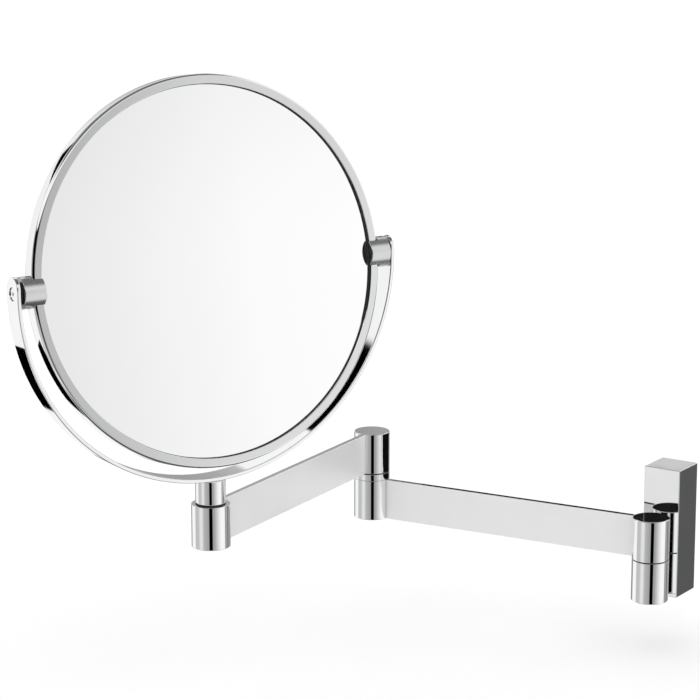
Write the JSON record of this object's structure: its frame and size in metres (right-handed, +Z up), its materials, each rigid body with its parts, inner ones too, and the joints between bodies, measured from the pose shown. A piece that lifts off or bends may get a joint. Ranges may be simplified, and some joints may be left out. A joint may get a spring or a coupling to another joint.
{
  "type": "wall-mounted swing-arm shaving mirror",
  "caption": "Round two-sided shaving mirror in a U-shaped tilting yoke, on a folding arm of flat bars and round knuckles that swings from a slim upright wall block.",
  "frame": {"origin": "centre of the wall plate's back face, on the wall plane", "axes": "+Z up, +X along the wall to the right seen from the room, +Y into the wall, so -Y points out into the room"},
  "size_m": [0.2188, 0.3309, 0.292],
  "materials": {
    "polished_chrome": "mirror-polished chrome plate",
    "mirror_glass": "silvered float glass",
    "screw_steel": "turned stainless steel",
    "zinc_plate": "zinc-plated sheet steel, satin",
    "brass_bush": "turned brass",
    "black_nylon": "moulded black nylon",
    "seal_rubber": "matt rubber"
  },
  "bodies": {
    "wall_bracket": {"wall_plate": "zinc_plate", "wall_screw_upper": "screw_steel", "wall_screw_lower": "screw_steel", "block_cover": "polished_chrome", "cover_grub_screw": "screw_steel", "knuckle_bolt": "screw_steel", "wall_knuckle_lower": "polished_chrome", "wall_hinge_pin": "screw_steel", "wall_pin_screw": "screw_steel", "wall_thrust_washer": "black_nylon"},
    "rear_arm": {"rear_wall_knuckle": "polished_chrome", "wall_hinge_bush": "brass_bush", "wall_hinge_grub": "screw_steel", "rear_bar": "polished_chrome", "rear_elbow_knuckle": "polished_chrome", "elbow_pin": "screw_steel", "elbow_pin_screw": "screw_steel", "elbow_collar": "polished_chrome", "elbow_thrust_washer": "black_nylon"},
    "front_arm": {"front_elbow_knuckle": "polished_chrome", "elbow_bush": "brass_bush", "elbow_grub": "screw_steel", "front_bar": "polished_chrome", "post_socket": "polished_chrome", "post_grub": "screw_steel", "post_bush": "black_nylon"},
    "yoke": {"post": "polished_chrome", "yoke_strap": "polished_chrome", "yoke_rivet": "polished_chrome", "left_pivot_washer": "black_nylon", "right_pivot_washer": "black_nylon"},
    "mirror_head": {"mirror_ring": "polished_chrome", "rear_retaining_ring": "polished_chrome", "front_glass": "mirror_glass", "core_disc": "zinc_plate", "magnifying_glass": "mirror_glass", "glass_seal": "seal_rubber", "right_boss": "polished_chrome", "left_boss": "polished_chrome", "right_pivot_screw": "polished_chrome", "left_pivot_screw": "polished_chrome"}
  },
  "joints": [
    {"name": "wall_swing", "type": "hinge", "parent": "wall_bracket", "child": "rear_arm", "pos_m": [0, -0.0329, 0], "axis": [0, 0, 1], "range_deg": [-4.7, 175.3]},
    {"name": "elbow_swing", "type": "hinge", "parent": "rear_arm", "child": "front_arm", "pos_m": [-0.16943, -0.04683, 0.013], "axis": [0, 0, 1], "range_deg": [-179.2, 90.8]},
    {"name": "head_swivel", "type": "hinge", "parent": "front_arm", "child": "yoke", "pos_m": [-0.15787, -0.21644, 0.03], "axis": [0, 0, 1], "continuous": true},
    {"name": "mirror_tilt", "type": "hinge", "parent": "yoke", "child": "mirror_head", "pos_m": [-0.15787, -0.21644, 0.1584], "axis": [0.4147, 0.91, 0], "continuous": true}
  ]
}
